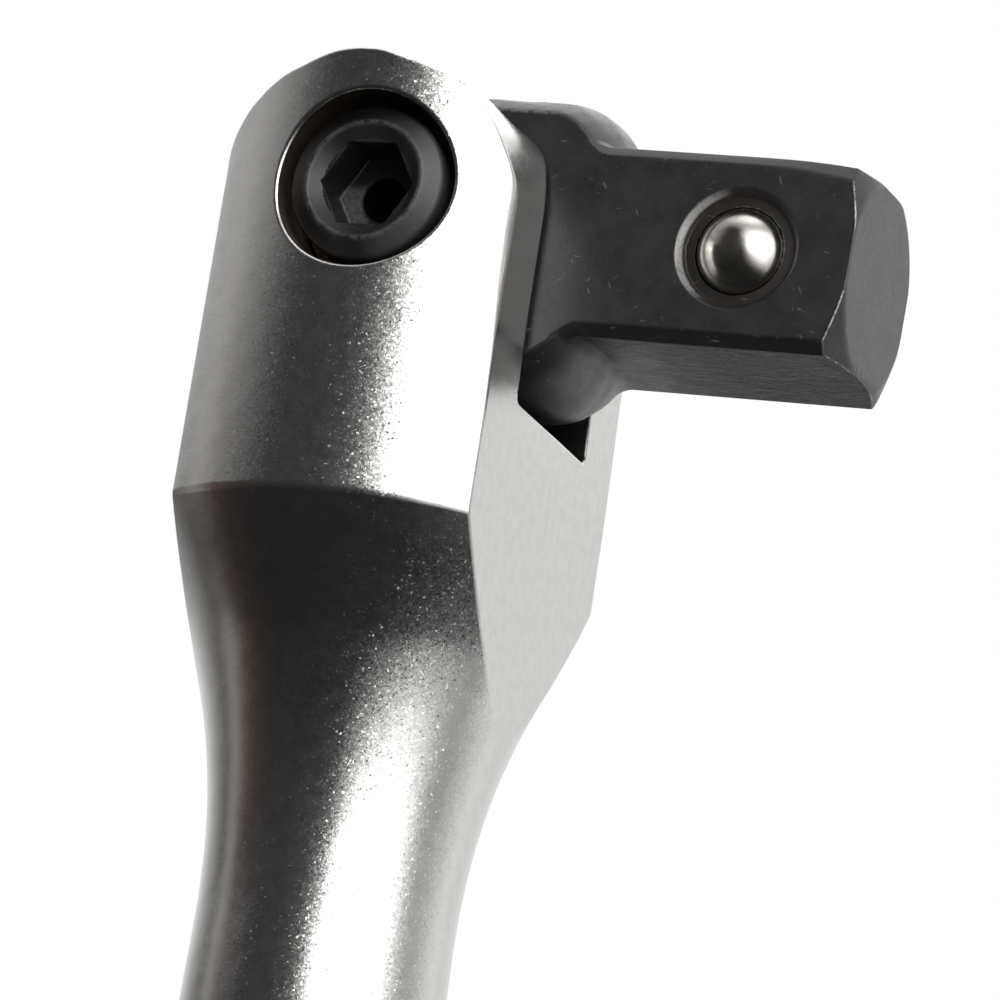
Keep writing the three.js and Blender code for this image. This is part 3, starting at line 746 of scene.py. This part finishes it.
# ---------------------------------------------------------------- pieces
H = 0.15
piece("handle_bar_forging", carve("handle_bar_forging", handle, (
    steps((-10.8, 10.8, H * 0.8)), steps((-16.4, -8.8, H * 0.8), (-8.8, 16.4, H * 1.2)),
    steps((29.6, 112.0, 3.0), (112.0, 113.2, 0.2), (113.2, 318.0, 3.0), (318.0, 340.0, 0.6), (340.0, 368.0, H), (368.0, 401.0, H * 0.8))), 196000),
    CHROME, "handle", "handle_bar")

at_hinge = Matrix.Translation((PIV_X * 0.001, 0, PIV_Z * 0.001))

H = 0.12
piece("drive_tang_forging", carve("drive_tang_forging", tang, (
    steps((-10.9, 30.4, H)), steps((-6.9, 6.9, H)), steps((-10.9, 10.9, H))), 150000, hang),
    TANG, "tang", "drive_tang", at_hinge)

H = 0.10
piece("hinge_socket_screw", carve("hinge_socket_screw", screw, (
    steps((-5.5, 5.5, H)), steps((-15.6, 15.3, H)), steps((-5.5, 5.5, H))), 120000),
    SCREW, "handle", "hinge_screw", at_hinge)

H = 0.3
piece("end_cap_moulding", carve("end_cap_moulding", cap, (
    steps((-13.9, 13.9, H)), steps((-13.9, 13.9, H)), steps((-0.6, 30.6, H))), 90000),
    HARD, "handle", "end_cap")


def ball_mesh(name, centre, r, rows=40, cols=72):
    P, N, quads, tris = [], [], [], []
    for i in range(1, rows):
        a = math.pi * i / rows
        for j in range(cols):
            b = 2 * math.pi * j / cols
            N.append((math.sin(a) * math.cos(b), -math.cos(a), math.sin(a) * math.sin(b)))
    N += [(0, -1, 0), (0, 1, 0)]
    N = np.array(N)
    P = np.array(centre) + N * r
    for i in range(rows - 2):
        for j in range(cols):
            k = (j + 1) % cols
            quads.append((i * cols + j, (i + 1) * cols + j, (i + 1) * cols + k, i * cols + k))
    lo, hi = len(N) - 2, len(N) - 1
    for j in range(cols):
        k = (j + 1) % cols
        tris.append((lo, j, k))
        tris.append((hi, (rows - 2) * cols + k, (rows - 2) * cols + j))
    me = raw_mesh(name, hang(P) * 0.001, [np.array(quads), np.array(tris)])
    me.normals_split_custom_set_from_vertices(hang(N).tolist())
    return me


piece("detent_ball_steel", ball_mesh("detent_ball_steel", (22.21, -4.3, 0.0), 3.175), POLISHED, "ball", "detent_ball", at_hinge)


def coil_mesh(name, centre, r, wire, y0, y1, turns, around=14, along=420):
    """compression spring with closed, ground end coils"""
    u = np.linspace(0, 1, along)
    dead = 0.12
    t = np.clip((u - dead) / (1 - 2 * dead), 0, 1)
    yy = y0 + wire + (y1 - y0 - 2 * wire) * (0.10 * np.minimum(u / dead, 1) + 0.80 * t + 0.10 * np.clip((u - 1 + dead) / dead, 0, 1))
    a = u * turns * 2 * math.pi
    C = np.stack([r * np.cos(a), yy, r * np.sin(a)], 1)
    D = unit(np.gradient(C, axis=0))
    out = np.stack([np.cos(a), 0 * a, np.sin(a)], 1)
    up = np.cross(D, out)
    b = np.arange(around) * 2 * math.pi / around
    ring = out[:, None, :] * np.cos(b)[None, :, None] + up[:, None, :] * np.sin(b)[None, :, None]
    P = (C[:, None, :] + wire * ring).reshape(-1, 3)
    i, j = np.meshgrid(np.arange(along - 1), np.arange(around), indexing="ij")
    k = (j + 1) % around
    F = np.stack([i * around + j, i * around + k, (i + 1) * around + k, (i + 1) * around + j], -1).reshape(-1, 4)
    n = len(P)
    P = np.concatenate([P, [C[0], C[-1]]])
    j = np.arange(around)
    k = (j + 1) % around
    T = np.concatenate([np.stack([np.full(around, n), k, j], 1), np.stack([np.full(around, n + 1), (along - 1) * around + j, (along - 1) * around + k], 1)])
    return raw_mesh(name, hang(P + np.array(centre)) * 0.001, [F, T])


coil = piece("detent_spring_coil", coil_mesh("detent_spring_coil", (22.21, 0.0, 0.0), 2.1, 0.26, -1.62, 4.1, 5), STEEL, "tang", "detent_spring", at_hinge)
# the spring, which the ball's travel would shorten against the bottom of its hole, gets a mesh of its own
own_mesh(coil)

hub_at = (PIV_X, 0.0, PIV_Z)
for name, pts in (
        ("spring_washer", [(4.25, -10.47, 0.05), (5.55, -10.16, 0.05), (5.55, -9.68, 0.05), (4.25, -9.99, 0.05)]),
        ("thrust_washer_far", [(4.2, 6.41, 0.05), (8.0, 6.41, 0.05), (8.0, 6.74, 0.05), (4.2, 6.74, 0.05)]),
        ("thrust_washer_near", [(4.2, -6.74, 0.05), (8.0, -6.74, 0.05), (8.0, -6.41, 0.05), (4.2, -6.41, 0.05)])):
    o, m = soft(pts, 3)
    piece(name + "_ring", lathe(name + "_ring", o, m, 128, "Y", hub_at), STEEL, "handle", name)

# grip: hard core with its collar and lower bead, soft skin with a moulded tread
o, m = soft([(7.15, 22.35, 0.2), (12.9, 22.35, 0.35), (13.75, 23.3, None), (14.08, 24.6, None), (14.1, 25.8, None), (13.85, 27.2, None), (13.2, 28.0, None), (12.5, 28.35, 0.15),
             (11.2, 28.4, 0.1), (11.2, 112.0, 0.1), (12.9, 112.05, 0.3), (13.7, 112.35, None), (14.45, 113.1, None), (14.85, 114.2, None), (15.0, 115.5, None), (14.93, 117.2, None),
             (14.6, 118.9, None), (14.0, 120.6, None), (13.25, 122.1, None), (12.6, 123.4, None), (12.1, 124.7, None), (11.75, 126.0, None), (11.5, 127.2, None),
             (11.3, 128.35, 0.8), (8.85, 128.35, 0.35), (8.85, 111.7, 0.1), (7.15, 111.7, 0.1)], 6)
piece("grip_core_moulding", lathe("grip_core_moulding", o, m, 160), HARD, "handle", "grip_core")


def skin_mesh(name):
    z0, z1 = 28.62, 111.78
    rows, cols = ((300, 308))
    z = np.concatenate([[z0] * 3, z0 + (z1 - z0) * np.linspace(0, 1, rows), [z1] * 3])
    t = (z - z0) / (z1 - z0)
    base = 13.85 + 0.72 * np.sin(math.pi * t) + 0.30 * np.cos(7 * math.pi * t + 0.4)
    T = np.arange(cols)[:, None] * 2 * math.pi / cols
    Z = z[None, :]
    p = np.cos(14 * T + 2 * math.pi * Z / 6.4) * np.cos(14 * T - 2 * math.pi * Z / 6.4)
    band = lambda v, a, b, w: np.clip((v - a) / w, 0, 1) * np.clip((b - v) / w, 0, 1)
    h = np.clip((p - 0.12) / 0.5, 0, 1)
    h = h * h * (3 - 2 * h)
    tread = 0.42 * h * np.clip(band(Z, 35.5, 105.0, 1.6), 0, 1)
    rim = 0.22 * (1 - np.clip(np.abs(Z - 33.4) / 0.9, 0, 1) ** 2) + 0.22 * (1 - np.clip(np.abs(Z - 107.0) / 0.9, 0, 1) ** 2)
    end = np.minimum(np.minimum((Z - z0) / 0.7, (z1 - Z) / 0.7), 1.0)
    R = base[None, :] - 0.30 + tread + rim - 0.7 * (1 - np.sqrt(np.clip(1 - (1 - end) ** 2, 0, 1)))
    R[:, 0], R[:, 1] = 11.32, 12.2
    R[:, -1], R[:, -2] = 11.32, 12.2
    c, s = np.cos(T), np.sin(T)
    P = np.stack([R * c, R * s, np.broadcast_to(Z, R.shape)], -1).reshape(-1, 3)
    n = R.shape[1]
    i, j = np.meshgrid(np.arange(cols), np.arange(n), indexing="ij")
    k, l = (i + 1) % cols, (j + 1) % n
    F = np.stack([i * n + j, k * n + j, k * n + l, i * n + l], -1).reshape(-1, 4)
    return raw_mesh(name, P * 0.001, [F])


piece("grip_skin_tread", skin_mesh("grip_skin_tread"), SOFT, "handle", "grip_skin")


# ---------------------------------------------------------------- stage and light
def floor_piece():
    rings, segments, P = [0.25, 0.5, 1.0, 2.0, 4.0, 9.0], 96, [(0, 0, 0)]
    for r in rings:
        P += [(r * math.cos(2 * math.pi * i / segments), r * math.sin(2 * math.pi * i / segments), 0) for i in range(segments)]
    T = [(0, 1 + i, 1 + (i + 1) % segments) for i in range(segments)]
    F = [(1 + a * segments + i, 1 + (a + 1) * segments + i, 1 + (a + 1) * segments + (i + 1) % segments, 1 + a * segments + (i + 1) % segments)
         for a in range(len(rings) - 1) for i in range(segments)]
    me = raw_mesh("floor", np.array(P, float), [np.array(T), np.array(F)])
    ob = bpy.data.objects.new("floor", me)
    bpy.context.scene.collection.objects.link(ob)
    mat, n, s, co = material("floor_paper")
    v = n.noise(co, 0.004, 3.0, 0.5)
    n.put(s.inputs["Base Color"], n.mix(n.ramp(v, 0.3, 0.7), (0.80, 0.80, 0.80), (0.83, 0.83, 0.825)))
    s.inputs["Roughness"].default_value = 0.9
    s.inputs["Specular IOR Level"].default_value = 0.0
    me.materials.append(mat)
    ob.visible_glossy = False       # the metal doesn't mirror the floor, as in the photograph


def studio():
    """soft panels round the object, as directions: azimuth from -Y towards +X, and elevation, in degrees"""
    world = bpy.data.worlds.new("studio")
    bpy.context.scene.world = world
    world.use_nodes = True
    n = Nodes(world.node_tree)
    for node in list(world.node_tree.nodes):
        world.node_tree.nodes.remove(node)
    x, y, z = n.xyz(n.new("ShaderNodeTexCoord").outputs["Generated"])
    deg = 180.0 / math.pi
    az = n.mul(n.m("ARCTAN2", x, n.mul(y, -1.0)), deg)
    el = n.mul(n.m("ARCSINE", n.mn(n.mx(z, -1.0), 1.0)), deg)

    def band(v, a, b, soft):
        return n.mul(n.ramp(v, a - soft, a + soft), n.ramp(v, b - soft, b + soft, 1.0, 0.0))

    def span(v, w, a, b, soft):
        """a panel's edge at a, of its own softness w, and one at b"""
        return n.mul(n.ramp(v, a - w, a + w), n.ramp(v, b - soft, b + soft, 1.0, 0.0))

    # the softbox at the front right: a tilted near edge, and a side edge across it
    tilt = n.sub(n.add(n.add(x, n.mul(y, 0.176)), n.mul(z, 0.384)), 0.320)
    turn = math.radians(77.4)
    across = n.mul(n.m("ARCSINE", n.add(n.mul(x, -math.cos(turn)), n.mul(y, -math.sin(turn)))), deg)
    softbox = n.mul(n.mul(n.ramp(tilt, -0.367, 0.367), n.ramp(across, -30.5, 30.5)), span(el, 38.0, -6.9, 48.3, 19.5))
    panels = [
        (softbox, 5.64),
        (n.ramp(n.add(n.add(n.mul(x, 0.559), n.mul(y, -0.769)), n.mul(z, 0.309)), 0.90, 0.975), 1.6),  # its bright middle, round
        (n.mul(n.ramp(el, 46.6, 98.9), n.ramp(y, -0.108, 0.292, 1.0, 0.0)), 3.09),                    # overhead
        (n.mul(band(az, -90.0, -79.0, 8.0), band(el, -20.7, 15.2, 5.0)), 0.40),                      # narrow strip, left
        (n.mul(n.ramp(n.m("ABSOLUTE", az), 85.0, 150.0), band(el, -18.8, 71.7, 3.0)), 0.945),         # wall behind
        (n.mul(n.ramp(az, -81.8, -37.2, 1.0, 0.0), span(el, 3.0, 14.1, 63.0, 12.7)), 0.534),           # left fill
        (n.mul(band(az, 99.0, 147.3, 12.0), band(el, -58.4, 75.0, 10.0)), 0.27),                     # right fill
    ]
    panels.append((n.mul(n.ramp(n.m("ABSOLUTE", az), 150.0, 166.0), band(el, 20.0, 62.0, 4.0)), 1.0))     # the wall's brighter top
    # low soft light from the right and from behind, which the photograph's view hardly mirrors, so that the shank reads as chrome from above
    panels.append((n.mul(n.ramp(az, 45.0, 90.0), band(el, -31.0, -14.0, 5.0)), 0.20))
    panels.append((n.mul(n.mx(n.ramp(az, 100.0, 130.0), n.ramp(az, -158.0, -174.0)), band(el, -55.0, -14.0, 6.0)), 0.28))
    total = n.ramp(el, -34, 10, 0.023, 0.050)
    for mask, power in panels:
        total = n.add(total, n.mul(mask, power))
    light = n.new("ShaderNodeBackground")
    light.inputs["Color"].default_value = (1.0, 0.995, 0.985, 1)
    n.put(light.inputs["Strength"], total)
    warm = n.new("ShaderNodeBackground")         # a faint brown reflection on the left of the neck
    warm.inputs["Color"].default_value = (1.0, 0.42, 0.18, 1)
    n.put(warm.inputs["Strength"], n.mul(n.mul(band(az, -90, -62, 14), band(el, -24, 8, 12)), 0.060))
    both = n.new("ShaderNodeAddShader")
    n.put(both.inputs[0], light.outputs[0])
    n.put(both.inputs[1], warm.outputs[0])
    paper = n.new("ShaderNodeBackground")
    paper.inputs["Color"].default_value = (1, 1, 1, 1)
    paper.inputs["Strength"].default_value = 1.0
    mixer = n.new("ShaderNodeMixShader")
    n.put(mixer.inputs[0], n.new("ShaderNodeLightPath").outputs["Is Camera Ray"])
    n.put(mixer.inputs[1], both.outputs[0])
    n.put(mixer.inputs[2], paper.outputs[0])
    out = n.new("ShaderNodeOutputWorld")
    n.put(out.inputs["Surface"], mixer.outputs[0])
    world.cycles.sampling_method = "MANUAL"
    world.cycles.sample_map_resolution = 1024


floor_piece()
studio()
scene = bpy.context.scene
scene.view_settings.view_transform = "Standard"
scene.view_settings.look = "None"

bpy.context.view_layer.update()
